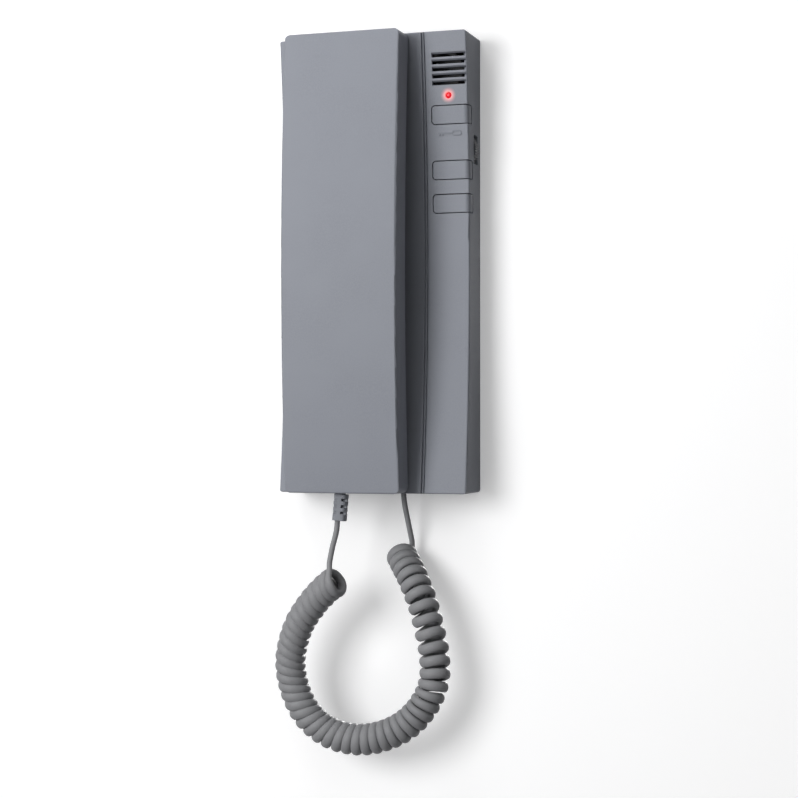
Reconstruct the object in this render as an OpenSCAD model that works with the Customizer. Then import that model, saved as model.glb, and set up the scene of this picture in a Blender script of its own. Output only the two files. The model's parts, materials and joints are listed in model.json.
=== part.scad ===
// Wall-mounted audio intercom with a lift-off handset and a curly cord.
// Millimetres. X to the right, Y into the wall, Z up. The origin is the centre of the back face.
// Distances called "out" are measured from the wall towards the room, so a point lies at Y = -out.

/* [Base] */
// Width of the base
base_w = 92; // [86:0.5:110]
// Height of the base
base_h = 214; // [200:0.5:225]
// Depth of the base at its top and bottom ends
base_d = 24.5; // [23:0.5:30]
// How far the base front sinks between its ends
base_sag = 6.5; // [5:0.1:7]
// Wall thickness of the base cover
base_wall = 2; // [1.6:0.1:2.4]
// Fillet along the front edges of the base
base_edge_r = 0.8; // [0.4:0.1:1.5]
// Corner radius of the base outline
base_corner_r = 1.5; // [0.8:0.1:3]
// Thickness of the wall plate
plate_t = 2; // [1.5:0.1:2.5]

/* [Wall fixing] */
// Distance between the two wall screws
wall_screw_pitch = 130; // [110:1:150]
// Diameter of the wall screw holes
wall_screw_d = 4.5; // [3.5:0.1:6]
// Width of the cable entry
cable_entry_w = 26; // [16:1:28]
// Height of the cable entry
cable_entry_h = 22; // [16:1:40]

/* [Handset] */
// Width of the handset
hs_w = 56.3; // [52:0.1:58]
// How much shorter the handset is than the base, at each end
hs_end_gap = 0.25; // [0.1:0.05:2]
// Depth of the handset's side wall
hs_side = 13.6; // [12.5:0.1:16]
// How far the handset front bows out between its ends
hs_bow = 5; // [3:0.1:7]
// Sideways place of the handset's middle line
hs_x = -9.75; // [-12:0.05:-8]
// Wall thickness of the handset shells
hs_wall = 2; // [1.6:0.1:2.4]
// Fillet along the front edges of the handset
hs_edge_r = 0.9; // [0.8:0.1:1.8]
// Corner radius of the handset outline
hs_corner_r = 3; // [1:0.1:4]
// Rest gap between the handset and the ends of the base
seat_gap = 0.4; // [0.3:0.05:0.8]

/* [Cradle] */
// Distance of the ear cup's middle from the top of the base
ear_from_top = 29; // [27:0.5:33]
// Radius of the ear cup
ear_cup_r = 18; // [16:0.5:19]
// Depth of the ear cup and of the lower cup
cup_depth = 3.5; // [3:0.1:4]
// Distance of the lower cup's middle from the bottom of the base
low_from_bottom = 44; // [42:0.5:49]
// Radius of the lower cup
low_cup_r = 11; // [9:0.5:12]
// Room round a rest inside its cup
rest_room = 1.8; // [1.5:0.1:2.5]
// How far a rest reaches into its cup
rest_reach = 1.2; // [0.8:0.1:1.6]

/* [Controls] */
// Left end of the buttons
button_x = 28.7; // [28.2:0.1:32]
// Height of a button
button_h = 8.2; // [7:0.1:9]
// Distance of the door button's middle from the top of the base
door_from_top = 38.4; // [37.5:0.1:40]
// Distance of the middle button's middle from the top of the base
middle_from_top = 63.9; // [63.5:0.1:66.5]
// Distance of the lower button's middle from the top of the base
lower_from_top = 79.4; // [78:0.1:86]
// Gap round a button
button_gap = 0.45; // [0.3:0.05:0.6]
// How deep a button wraps round the side of the base
button_wrap = 5.4; // [4.6:0.1:6]
// Rounding of a button where it turns the edge
button_edge_r = 2.2; // [1:0.1:3]
// Corner radius of a button
button_corner_r = 1.4; // [0.6:0.1:2]
// Travel of a button
button_travel = 1; // [0.6:0.1:1.4]
// Number of sounder slots
slot_count = 5; // [3:1:5]
// Height of a sounder slot
slot_h = 1.7; // [0.8:0.05:1.8]
// Pitch of the sounder slots
slot_pitch = 3.2; // [2.9:0.05:3.4]
// Distance of the top sounder slot from the top of the base
slot_from_top = 11.1; // [10:0.1:12]
// Left end of the sounder slots
slot_x = 29.1; // [28:0.1:31]
// Diameter of the status lamp
led_d = 3; // [2:0.1:3.4]
// Distance of the status lamp from the top of the base
led_from_top = 29.5; // [29:0.1:30]
// Radius of the volume wheel
wheel_r = 8.5; // [7.5:0.1:8.8]
// Thickness of the volume wheel
wheel_t = 5.6; // [4.6:0.1:5.8]
// How far the volume wheel stands out of the side
wheel_proud = 1; // [0.6:0.1:1.2]
// Distance of the volume wheel's axis from the top of the base
wheel_from_top = 53.5; // [52.5:0.1:54]
// Sideways place of the double groove beside the handset
groove_x = 25.2; // [24:0.1:26]
// Travel of the hook plunger
hook_travel = 4; // [2.5:0.1:4.5]

/* [Cord] */
// Thickness of the straight leads
lead_d = 2.6; // [2:0.1:3]
// Radius of the curls, to the middle of the cord
curl_r = 5.7; // [5:0.1:6]
// Thickness of the curled cord, across the curl
curl_t = 2.6; // [2:0.1:3]
// Width of the curled cord, along the coil
curl_w = 3.2; // [2:0.1:3.3]
// Length of the cord boot below the handset
boot_l = 12.9; // [11.5:0.1:13]

/* [Hidden] */

// Resolution of round shapes, of the long arcs and of rounded corners
$fn = 48;
arc_fn = 720;
corner_steps = 6;

// Colours of the shown and of the hidden pieces
grey_plastic = "#92959f";
dark_grey = "#4a4c50";
board_green = "#2f6b3c";
steel = "#b8bcc2";
lamp_red = "#e01020";
cord_grey = "#85868a";
rubber_black = "#222222";
terminal_green = "#3d7a52";
symbol_grey = "#7c7f88";

// Clearances: moving pieces, fixed pieces, a spindle in its bore, and how far a cut overshoots
run_gap = 0.3;
fix_gap = 0.3;
spin_gap = 0.05;
thin_gap = 0.02;
past = 1;

// Cross in a screw head: reach over the head's radius, depth over the head's height, half width
cross_reach = 0.6;
cross_depth = 0.5;
cross_half_w = 0.25;

// Long arcs: the base front is hollow, the handset front is bowed
base_half_h = base_h / 2;
base_half_w = base_w / 2;
base_arc_r = (base_half_h * base_half_h + base_sag * base_sag) / (2 * base_sag);
base_mid_out = base_d - base_sag;
base_axis_out = base_mid_out + base_arc_r;
base_arc_a = asin((base_half_h + 2 * past) / (base_arc_r - 2 * past));
hs_half_h = base_half_h - hs_end_gap;
hs_h = 2 * hs_half_h;
hs_arc_r = (hs_half_h * hs_half_h + hs_bow * hs_bow) / (2 * hs_bow);
hs_back_r = hs_arc_r - hs_side;
hs_mid_out = base_d + seat_gap + hs_side + hs_bow;
hs_axis_out = hs_mid_out - hs_arc_r;
hs_arc_a = asin((hs_half_h + 2 * past) / (hs_back_r - 2 * past));

// Distance of the base front and of the handset back from the wall, at height z
function base_out(z) = base_axis_out - sqrt(base_arc_r * base_arc_r - z * z);
function hs_back_out(z) = hs_axis_out + sqrt(hs_back_r * hs_back_r - z * z);

// Depth and height of the inside of the base, and the circuit board in it
inner_half_w = base_half_w - base_wall;
inner_half_h = base_half_h - base_wall;
board_gap = 1;
board_t = 1.4;
board_back = plate_t + board_gap;
board_front = board_back + board_t;
board_left = 8;
board_side_gap = 1.5;
board_top_gap = 3.5;
board_foot_w = 9;
board_foot_h = 19;
board_right = inner_half_w - board_side_gap;
board_top = inner_half_h - board_top_gap;
board_bottom = -inner_half_h + board_side_gap;
board_foot_left = hs_x - board_foot_w;
board_foot_top = board_bottom + board_foot_h;
board_screw_left = 14;
board_screw_right = 36.5;
top_screw_drop = 11;
middle_screw_drop = 93;
low_screw_rise = 48;
foot_screw_rise = 8;
board_screw_at = [
  [board_screw_left, board_top - top_screw_drop],
  [board_screw_right, board_top - middle_screw_drop],
  [board_screw_left, board_bottom + low_screw_rise],
  [board_screw_right, board_bottom + foot_screw_rise]
];
board_screw_r = 1.25;
board_screw_head_r = 2.4;
board_screw_head_t = 1.4;
board_post_r = 3;
board_hole_floor = 0.5;
board_screw_end = 0.6;

// Wall plate: tabs that carry the cover at its top, and a lug for the cover screw
tab_x = [-30, 0];
tab_w = 10;
tab_t = 3;
tab_l = 4;
lug_x = -26;
lug_w = 10;
lug_l = 6;
lug_out = 6;
lug_d = 8;
cover_screw_r = 1.25;
cover_screw_head_r = 2.9;
cover_screw_head_t = 1;
cover_screw_l = 8;

// Sounder behind its slots
sounder_r = 9;
sounder_t = 9;
sounder_side_gap = 0.7;
sounder_x = inner_half_w - sounder_r - sounder_side_gap;
slot_top_z = base_half_h - slot_from_top;
sounder_z = slot_top_z - slot_pitch * (slot_count - 1) / 2;
sounder_top = board_front + sounder_t;
sounder_hole_r = 1.6;
sounder_hole_d = 4.5;
gasket_wall = 1.6;
slot_skin = 0.4;
slot_slope_h = 0.45;
slot_slope_d = 0.8;

// Status lamp on its spacer
led_from_edge = 9.3;
led_x = base_half_w - led_from_edge;
led_z = base_half_h - led_from_top;
led_r = led_d / 2;
led_proud = 0.35;
led_flange_w = 0.4;
led_flange_r = led_r + led_flange_w;
led_flange_t = 1;
led_body_l = 6;
led_spacer_r = 2.2;
led_leg_r = 0.3;
led_leg_gap = 1.27;
led_hole_gap = 0.1;
led_tip = base_out(led_z) + led_proud;
led_foot = led_tip - led_body_l;

// Buttons: hollow caps with a lip behind the panel and a post over a switch
door_button_z = base_half_h - door_from_top;
middle_button_z = base_half_h - middle_from_top;
lower_button_z = base_half_h - lower_from_top;
button_z = [door_button_z, middle_button_z, lower_button_z];
button_wall = 1.4;
button_lip = 1.4;
button_lip_t = 1.2;
button_post_r = 1.5;
button_post_from_edge = 8;
button_post_x = base_half_w - button_post_from_edge;
button_post_drop = 1.5;
switch_size = 4.5;
switch_body_t = 3.6;
switch_stem_r = 1.6;
switch_gap = 0.2;

// Volume wheel over its flat potentiometer
wheel_x = base_half_w + wheel_proud - wheel_r;
wheel_z = base_half_h - wheel_from_top;
wheel_board_gap = 0.5;
wheel_out = board_front + wheel_board_gap;
wheel_front = wheel_out + wheel_t;
wheel_teeth = 44;
wheel_tooth = 0.4;
wheel_slot_gap = 0.5;
wheel_slot_half_h = 6.8;
wheel_slot_r = 0.6;
pot_r = 6;
pot_t = 2.5;
spindle_r = 1.5;
pot_room = 0.5;

// Hook plunger: pressed in by the seated handset, with a spring and a switch behind it
hook_from_bottom = 10;
hook_z = -base_half_h + hook_from_bottom;
hook_r = 2.7;
hook_tip_gap = 0.5;
hook_flange_r = 4.2;
hook_flange_t = 1.6;
hook_tail_r = 1.5;
hook_tail_gap = 0.3;
hook_switch_w = 12;
hook_switch_h = 9;
hook_switch_t = 4.6;
hook_slope_room = 1.2;
hook_tip = hs_back_out(hook_z) - hook_tip_gap;
hook_flange_top = base_out(hook_z) - base_wall - hook_slope_room - hook_travel;
hook_flange_out = hook_flange_top - hook_flange_t;
hook_switch_out = board_front + hook_switch_t;
spring_r = 2.4;
spring_wire_r = 0.25;
spring_turns = 5;

// Terminal block beside the cable entry
terminal_x = 10;
terminal_w = 10;
terminal_h = 26;
terminal_t = 8;
terminal_count = 4;
terminal_screw_r = 1.6;
terminal_screw_t = 2;
terminal_slot_half_w = 0.3;
terminal_slot_d = 0.5;
terminal_wire_h = 2;
terminal_wire_l = 2;
terminal_z = 0;
terminal_top = board_front + terminal_t;
terminal_mid_x = terminal_x + terminal_w / 2;
function terminal_at(i) = terminal_z + terminal_h * (i + 0.5) / terminal_count;
cable_entry_x = -9;
cable_entry_z = 13;

// Double groove beside the handset, with a sunken ridge between
groove_w = 0.7;
groove_depth = 1.1;
groove_pitch = 1.2;
groove_ridge_drop = 0.4;

// Key symbol below the door button
key_from_edge = 8.8;
key_from_top = 46.9;
key_x = base_half_w - key_from_edge;
key_z = base_half_h - key_from_top;
key_l = 11.4;
key_ring_l = 5;
key_ring_h = 2.6;
key_bar_t = 0.7;
key_tooth_l = 0.9;
key_relief = 0.25;

// Handset: cups, earpiece, microphone and screws
cup_wall = 1.6;
ear_z = base_half_h - ear_from_top;
low_z = -base_half_h + low_from_bottom;
ear_back = hs_back_out(ear_z);
ear_floor = ear_back + cup_depth;
low_back = hs_back_out(low_z);
low_floor = low_back + cup_depth;
ear_hole_r = 0.9;
ear_hole_ring_r = 5;
ear_hole_count = 6;
speaker_r = 16;
speaker_t = 4.6;
speaker_frame_t = 1.2;
speaker_magnet_r = 9;
gasket_t = 0.6;
gasket_w = 2.5;
mic_from_end = 22.75;
mic_z = -hs_half_h + mic_from_end;
mic_r = 4.85;
mic_t = 4;
mic_boot_wall = 1.2;
mic_seat_r = 7;
mic_seat_t = 0.9;
mic_hole_r = 0.8;
mic_seat_out = hs_back_out(mic_z) + hs_wall + mic_seat_t;
screw_under_ear = 40;
screw_over_low = 25;
hs_screw_z = [ear_z - screw_under_ear, low_z + screw_over_low];
hs_screw_r = 1.25;
hs_screw_l = 8;
hs_screw_head_r = 2.6;
hs_screw_head_t = 1.2;
hs_boss_r = 3.4;

// Cord boot at the lower end of the handset
boot_x = -12;
boot_from_back = 6.7;
boot_out = hs_back_out(hs_half_h) + boot_from_back;
boot_w = 6.4;
boot_d = 5.4;
boot_round_r = 1.8;
boot_lean = 5;
boot_neck_r = 1.9;
boot_flange_r = 3.4;
boot_flange_t = 1.5;
boot_rows = 3;
boot_row_pitch = 3;
boot_first_row = 3.1;
boot_notch_h = 1.3;
boot_spine_w = 2;
boot_web_t = 1.4;
boot_gap = 0.6;

// Grommet for the cord in the lower wall of the base
grommet_x = 12.5;
grommet_out = 14;
grommet_r = 2.6;
grommet_flange_r = 4;
grommet_flange_t = 1.5;
grommet_bore_gap = 0.15;
grommet_bore_r = lead_d / 2 + grommet_bore_gap;

// Routes of the straight leads, from the boot down and from the grommet down
handset_route = [
  [-14.12, -31.5, -119.54], [-14.52, -31.5, -124], [-15.5, -31.6, -128.3], [-16.4, -31.9, -131.8],
  [-16.9, -32.4, -135]
];
base_route = [
  [12.5, -14, -103.7], [12.5, -13.9, -107.5], [12.9, -12.6, -114], [13.4, -10, -120.5], [13.8, -7.4, -126.5]
];
lead_sides = 8;

// Middle line of the curled cord, from the handset's end to the base's end
coil_route = [
  [-14.2, -31.5, -147.6], [-20, -29.6, -151.4], [-28, -28.5, -159.5], [-35.5, -27.5, -171],
  [-39.5, -26.5, -186], [-37.5, -25.5, -200], [-31, -25, -212], [-20.5, -24, -219.8], [-8, -23.5, -222.3],
  [4, -23.3, -220.5], [15.5, -23, -215], [24.5, -23, -206], [30, -23, -194.5], [30.3, -22.5, -182],
  [27.3, -22, -168], [24, -21, -157.5], [18.6, -17.5, -147.5], [13.3, -12.5, -140.8], [8.8, -7.2, -136]
];
curl_count = 47 + 31 / 40;
curl_start = -50;
curl_rings = 8;
curl_sides = 6;
curl_ease = 0.34;
ease_from = 0.6;
curl_lean = 18;
lean_from = 25;
lean_span = 325;
coil_samples = 140;
coil_join = 2.4;
coil_join_steps = 3;
axis_step = 0.02;
share_step = 0.001;

// Straight stub of one cord width at each end of the coil
function unit(v) = v / norm(v);
function from_end(list, i) = list[len(list) - 1 - i];
stub_l = curl_w;
coil_start = from_end(handset_route, 0);
coil_end = from_end(base_route, 0);
start_dir = unit(coil_start - from_end(handset_route, 1));
end_dir = unit(from_end(base_route, 1) - coil_end);

// Smooth curve through the route's points, u from 0 to the last index
function route_point(i) = coil_route[max(0, min(len(coil_route) - 1, i))];
function smooth(a, b, c, d, t) =
  0.5 * (2 * b + (c - a) * t + (2 * a - 5 * b + 4 * c - d) * t * t + (3 * b - a - 3 * c + d) * t * t * t);
function coil_axis(u) =
  let (i = min(len(coil_route) - 2, floor(u)))
  smooth(route_point(i - 1), route_point(i), route_point(i + 1), route_point(i + 2), u - i);

// Length along the middle line against u, so that the curls are spaced by length
coil_u = [for (i = [0:coil_samples]) i * (len(coil_route) - 1) / coil_samples];
coil_steps = [for (i = [1:coil_samples]) norm(coil_axis(coil_u[i]) - coil_axis(coil_u[i - 1]))];
coil_table = [
  for (i = 0, s = 0; i <= coil_samples; s = s + (i < coil_samples ? coil_steps[i] : 0), i = i + 1)
    [s, coil_u[i]]
];
coil_length = coil_table[coil_samples][0];

// The curls lie close together and ease apart halfway up to the base
function loosened(share) =
  let (u = max(0, (share - ease_from) / (1 - ease_from)))
  (1 - ease_from) * (u / 2 - sin(360 * u) / (4 * PI));
function curls_until(share) = share - curl_ease * loosened(share);
function curl_share(share) = curls_until(share) / curls_until(1);
function coil_tangent(u) = unit(coil_axis(u + axis_step) - coil_axis(u - axis_step));
function coil_front(t) = unit([0, -1, 0] + t[1] * t);
// Each curl leans with its inner side down, on the way down and on the way up
function coil_radial(share) =
  let (t = coil_tangent(lookup(share * coil_length, coil_table)))
  let (phase = curl_start + 360 * curl_count * curl_share(share))
  let (lean = curl_lean * sin(lean_from + lean_span * share))
  let (side = cos(lean) * cross(coil_front(t), t) + sin(lean) * t)
  cos(phase) * coil_front(t) + sin(phase) * side;
function curl_point(share) =
  coil_axis(lookup(share * coil_length, coil_table)) + curl_r * coil_radial(share);

// A short curve that leads the straight stub into the first or the last curl
function bridge(a, da, b, db, t) =
  pow(1 - t, 3) * a + 3 * t * pow(1 - t, 2) * (a + coil_join * da)
  + 3 * t * t * (1 - t) * (b - coil_join * db) + pow(t, 3) * b;

ring_count = floor(curl_count * curl_rings);
curl_shares = [for (i = [0:ring_count]) i / ring_count];
curl_line = [for (share = curl_shares) curl_point(share)];
first_dir = unit(curl_point(share_step) - curl_point(0));
last_dir = unit(curl_point(1) - curl_point(1 - share_step));
start_stub = coil_start + stub_l * start_dir;
end_stub = coil_end - stub_l * end_dir;
join_shares = [for (i = [1:coil_join_steps]) i / (coil_join_steps + 1)];
start_join = [for (t = join_shares) bridge(start_stub, start_dir, curl_line[0], first_dir, t)];
end_join = [for (t = join_shares) bridge(curl_line[ring_count], last_dir, end_stub, end_dir, t)];
coil_path = concat([coil_start, start_stub], start_join, curl_line, end_join, [end_stub, coil_end]);
start_ref = coil_radial(0);
end_ref = coil_radial(1);
coil_refs = concat(
  [for (i = [0:coil_join_steps + 1]) start_ref],
  [for (share = curl_shares) coil_radial(share)],
  [for (i = [0:coil_join_steps + 1]) end_ref]
);

// Rings of a tube along a path, turned so that their first axis lies along ref
function path_dir(path, i) =
  unit(path[min(i + 1, len(path) - 1)] - path[max(i - 1, 0)]);
function ring(centre, dir, ref, half_a, half_b, sides) =
  let (e1 = unit(ref - (ref * dir) * dir))
  let (e2 = cross(dir, e1))
  let (step = 360 / sides)
  [for (k = [0:sides - 1]) centre + half_a * cos(k * step) * e1 + half_b * sin(k * step) * e2];
function tube_rings(path, refs, half_a, half_b, sides) =
  [for (i = [0:len(path) - 1]) ring(path[i], path_dir(path, i), refs[i], half_a, half_b, sides)];

// Least distance between points of one curl and points of the next
function ring_gap(a, b) = min([for (p = a, q = b) norm(p - q)]);
coil_rings = tube_rings(coil_path, coil_refs, curl_t / 2, curl_w / 2, curl_sides);
half_curl = curl_rings / 2 + 1;
coil_gap = min([
  for (i = [0:len(coil_rings) - 1])
    for (j = [i + half_curl:min(i + 2 * curl_rings, len(coil_rings) - 1)])
      ring_gap(coil_rings[i], coil_rings[j])
]);

// Return spring of the hook plunger
spring_low = hook_switch_out + spring_wire_r + thin_gap;
spring_high = hook_flange_out - spring_wire_r - thin_gap;
spring_ring_count = spring_turns * curl_rings;
function spring_radial(i) = [cos(360 * i / curl_rings), 0, sin(360 * i / curl_rings)];
function spring_out(i) = spring_low + (spring_high - spring_low) * i / spring_ring_count;
spring_path = [
  for (i = [0:spring_ring_count])
    [hs_x, -spring_out(i), hook_z] + spring_r * spring_radial(i)
];
spring_refs = [for (i = [0:spring_ring_count]) spring_radial(i)];
spring_rings = tube_rings(spring_path, spring_refs, spring_wire_r, spring_wire_r, curl_sides);
spring_gap = min([
  for (i = [0:len(spring_rings) - half_curl - 1])
    ring_gap(spring_rings[i], spring_rings[min(i + curl_rings, len(spring_rings) - 1)])
]);
echo(coil_gap = coil_gap, coil_length = coil_length, spring_gap = spring_gap);

// Shapes that repeat

// Extrudes an outline drawn in X and Z from one distance out to another
module out_extrude(from, to) {
  rotate([90, 0, 0])
    translate([0, 0, from])
      linear_extrude(to - from) children();
}

// Extrudes an outline drawn in out and Z from one X to another
module side_extrude(from, to) {
  translate([to, 0, 0])
    rotate([90, 0, -90])
      linear_extrude(to - from) children();
}

// Cylinder along the way out of the wall
module out_cylinder(x, z, r, from, to) {
  translate([x, 0, z])
    rotate([90, 0, 0])
      translate([0, 0, from]) cylinder(r = r, h = to - from);
}

// Box between two X, two distances out and two Z
module out_box(x, out, z) {
  translate([x[0], -out[1], z[0]]) cube([x[1] - x[0], out[1] - out[0], z[1] - z[0]]);
}

// Points of a quarter round about a centre, from a start angle
function quarter(centre, r, start) =
  [for (i = [0:corner_steps]) let (a = start + 90 * i / corner_steps) centre + r * [cos(a), sin(a)]];

// Rectangle with round corners
module rounded_rect(w, h, r) {
  x = w / 2 - r;
  y = h / 2 - r;
  polygon(concat(
    quarter([x, y], r, 0), quarter([-x, y], r, 90), quarter([-x, -y], r, 180), quarter([x, -y], r, 270)
  ));
}

// Sweeps a section, drawn in radius and X, along the hollow front of the base
module base_sweep() {
  translate([0, -base_axis_out, 0])
    rotate([0, 90, 0])
      rotate([0, 0, 90 - base_arc_a])
        rotate_extrude(angle = 2 * base_arc_a, $fn = arc_fn) children();
}

// Sweeps a section, drawn in radius and X, along the bowed front of the handset
module handset_sweep() {
  translate([0, -hs_axis_out, 0])
    rotate([0, 90, 0])
      rotate([0, 0, 270 - hs_arc_a])
        rotate_extrude(angle = 2 * hs_arc_a, $fn = arc_fn) children();
}

// Everything in front of a surface that lies a given depth behind the base front
module before_base_front(depth) {
  translate([-base_w, -base_axis_out, 0])
    rotate([0, 90, 0])
      cylinder(r = base_arc_r + depth, h = 2 * base_w, $fn = arc_fn);
}

// Section of the base, with its front edges rounded
module base_section(edge_r, deep) {
  translate([base_arc_r + edge_r, -base_half_w]) square([deep, base_w]);
  translate([base_arc_r, -base_half_w + edge_r]) square([deep, base_w - 2 * edge_r]);
  for (side = [-1, 1])
    translate([base_arc_r + edge_r, side * (base_half_w - edge_r)]) circle(edge_r);
}

// Tube through a list of rings, as triangles
module tube(rings) {
  sides = len(rings[0]);
  last = len(rings) - 1;
  walls = [
    for (i = [0:last - 1], k = [0:sides - 1])
      let (a = i * sides + k)
      let (b = i * sides + (k + 1) % sides)
      each [[a, a + sides, b + sides], [a, b + sides, b]]
  ];
  caps = [
    for (k = [1:sides - 2])
      each [[0, k, k + 1], [last * sides, last * sides + k + 1, last * sides + k]]
  ];
  polyhedron(points = [for (r = rings) each r], faces = concat(walls, caps), convexity = 10);
}

// Screw along the way out of the wall, with its head at the far end and a cross in the head
module out_screw(x, z, r, head_r, head_t, from, to) {
  difference() {
    union() {
      out_cylinder(x, z, r, from, to);
      out_cylinder(x, z, head_r, to, to + head_t);
    }
    for (turn = [0, 90])
      translate([x, 0, z])
        rotate([0, turn, 0])
          out_box(
            [-head_r * cross_reach, head_r * cross_reach],
            [to + head_t * cross_depth, to + head_t + past],
            [-cross_half_w, cross_half_w]
          );
  }
}

// Base pieces

module wall_plate() {
  color(dark_grey)
    difference() {
      union() {
        out_extrude(0, plate_t)
          rounded_rect(2 * (inner_half_w - fix_gap), 2 * (inner_half_h - fix_gap), base_corner_r);
        for (at = board_screw_at)
          out_cylinder(at[0], at[1], board_post_r, plate_t - thin_gap, board_back);
        for (x = tab_x)
          out_box(
            [x - tab_w / 2, x + tab_w / 2],
            [plate_t - thin_gap, plate_t + tab_l],
            [inner_half_h - fix_gap - tab_t, inner_half_h - fix_gap]
          );
        out_box(
          [lug_x - lug_w / 2, lug_x + lug_w / 2],
          [plate_t - thin_gap, plate_t + lug_d],
          [-inner_half_h + fix_gap, -inner_half_h + fix_gap + lug_l]
        );
      }
      for (side = [-1, 1])
        out_cylinder(0, side * wall_screw_pitch / 2, wall_screw_d / 2, -past, plate_t + past);
      out_extrude(-past, plate_t + past)
        translate([cable_entry_x, cable_entry_z]) rounded_rect(cable_entry_w, cable_entry_h, base_corner_r);
      for (at = board_screw_at)
        out_cylinder(at[0], at[1], board_screw_r + spin_gap, board_hole_floor, board_back + past);
      translate([lug_x, -lug_out, -base_half_h])
        cylinder(r = cover_screw_r + spin_gap, h = base_wall + lug_l + 2 * past);
    }
}

// Outline of one button seen from the front, open to the right, and seen from the side
module button_front_outline(z, grow) {
  left = button_x - grow;
  right = base_half_w + 2 * button_edge_r;
  h = button_h + 2 * grow;
  translate([(left + right) / 2, z]) rounded_rect(right - left, h, button_corner_r + grow);
}

module button_side_outline(z, grow, behind) {
  low = base_out(z) - button_wrap - behind;
  high = base_d + 2 * button_wrap;
  h = button_h + 2 * grow;
  translate([(low + high) / 2, z]) rounded_rect(high - low, h, button_corner_r + grow);
}

module button_room(z) {
  intersection() {
    out_extrude(0, base_d + 2 * button_wrap) button_front_outline(z, button_gap);
    side_extrude(0, base_w) button_side_outline(z, button_gap, button_travel + run_gap);
  }
}

// Section of the double groove, in radius and X
module groove_section() {
  outside = (groove_pitch + groove_w) / 2;
  inside = (groove_pitch - groove_w) / 2;
  translate([base_arc_r, groove_x])
    polygon([
      [-past, -outside], [groove_depth, -outside], [groove_depth, -inside], [groove_ridge_drop, -inside],
      [groove_ridge_drop, inside], [groove_depth, inside], [groove_depth, outside], [-past, outside]
    ]);
}

// Side view of one sounder slot: the rib above it slopes back to it
module slot_profile(z) {
  front = base_out(z);
  low = front - base_wall - past;
  high = base_d + past;
  rise = slot_slope_h * (high - front + slot_slope_d) / slot_slope_d;
  translate([0, z])
    polygon([
      [low, -slot_h / 2], [high, -slot_h / 2], [high, slot_h / 2 + rise],
      [front - slot_slope_d, slot_h / 2], [low, slot_h / 2]
    ]);
}

// A hollow rest of the cover that reaches into a cup of the handset
module rest_outside(z, cup_r, top) {
  out_cylinder(hs_x, z + rest_room - run_gap, cup_r - rest_room, base_mid_out - base_wall, top);
}

module rest_inside(z, cup_r, top) {
  out_cylinder(hs_x, z + rest_room - run_gap, cup_r - rest_room - base_wall, 0, top - base_wall);
}

module base_cover() {
  color(grey_plastic)
    difference() {
      union() {
        difference() {
          intersection() {
            base_sweep() base_section(base_edge_r, 2 * base_d);
            out_extrude(0, base_d + past) rounded_rect(base_w, base_h, base_corner_r);
            side_extrude(-base_w, base_w) rounded_rect(2 * base_d, base_h, base_edge_r);
          }
          difference() {
            out_extrude(-past, base_d)
              rounded_rect(2 * inner_half_w, 2 * inner_half_h, base_corner_r);
            before_base_front(base_wall);
          }
        }
        rest_outside(ear_z, ear_cup_r, ear_back + rest_reach);
        rest_outside(low_z, low_cup_r, low_back + rest_reach);
      }
      rest_inside(ear_z, ear_cup_r, ear_back + rest_reach);
      rest_inside(low_z, low_cup_r, low_back + rest_reach);
      base_sweep() groove_section();
      for (i = [0:slot_count - 1]) {
        z = slot_top_z - i * slot_pitch;
        side_extrude(slot_x, base_half_w - slot_skin) slot_profile(z);
      }
      out_cylinder(led_x, led_z, led_r + led_hole_gap, base_out(led_z) - base_wall - past, base_d + past);
      for (z = button_z)
        button_room(z);
      side_extrude(inner_half_w - past, base_half_w + past)
        translate([wheel_out + wheel_t / 2, wheel_z])
          rounded_rect(wheel_t + 2 * wheel_slot_gap, 2 * wheel_slot_half_h, wheel_slot_r);
      out_cylinder(hs_x, hook_z, hook_r + run_gap, base_mid_out - base_wall, base_d + past);
      translate([grommet_x, -grommet_out, -base_half_h - past])
        cylinder(r = grommet_r + spin_gap, h = base_wall + 2 * past);
      translate([lug_x, -lug_out, -base_half_h - past])
        cylinder(r = cover_screw_r + run_gap, h = base_wall + 2 * past);
      translate([lug_x, -lug_out, -base_half_h - past])
        cylinder(r = cover_screw_head_r + fix_gap, h = past + cover_screw_head_t + thin_gap);
    }
}

module circuit_board() {
  color(board_green)
    difference() {
      union() {
        out_box([board_left, board_right], [board_back, board_front], [board_bottom, board_top]);
        out_box([board_foot_left, board_right], [board_back, board_front], [board_bottom, board_foot_top]);
      }
      for (at = board_screw_at)
        out_cylinder(at[0], at[1], board_screw_r + run_gap, 0, board_front + past);
    }
}

module board_screws() {
  color(steel)
    for (at = board_screw_at)
      out_screw(
        at[0], at[1], board_screw_r, board_screw_head_r, board_screw_head_t, board_screw_end, board_front
      );
}

module sounder() {
  color(dark_grey)
    difference() {
      out_cylinder(sounder_x, sounder_z, sounder_r, board_front, sounder_top);
      out_cylinder(sounder_x, sounder_z, sounder_hole_r, sounder_top - sounder_hole_d, sounder_top + past);
    }
}

module sounder_gasket() {
  color(rubber_black)
    difference() {
      out_cylinder(sounder_x, sounder_z, sounder_r, sounder_top, base_d);
      out_cylinder(sounder_x, sounder_z, sounder_r - gasket_wall, sounder_top - past, base_d + past);
      before_base_front(base_wall + fix_gap);
    }
}

module status_led() {
  color(lamp_red) {
    out_cylinder(led_x, led_z, led_r, led_foot, led_tip - led_r);
    out_cylinder(led_x, led_z, led_flange_r, led_foot, led_foot + led_flange_t);
    translate([led_x, -(led_tip - led_r), led_z]) sphere(led_r);
  }
}

module led_spacer() {
  color(dark_grey)
    difference() {
      out_cylinder(led_x, led_z, led_spacer_r, board_front, led_foot);
      for (side = [-1, 1])
        out_cylinder(led_x + side * led_leg_gap, led_z, led_leg_r, board_front - past, led_foot + past);
    }
}

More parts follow.
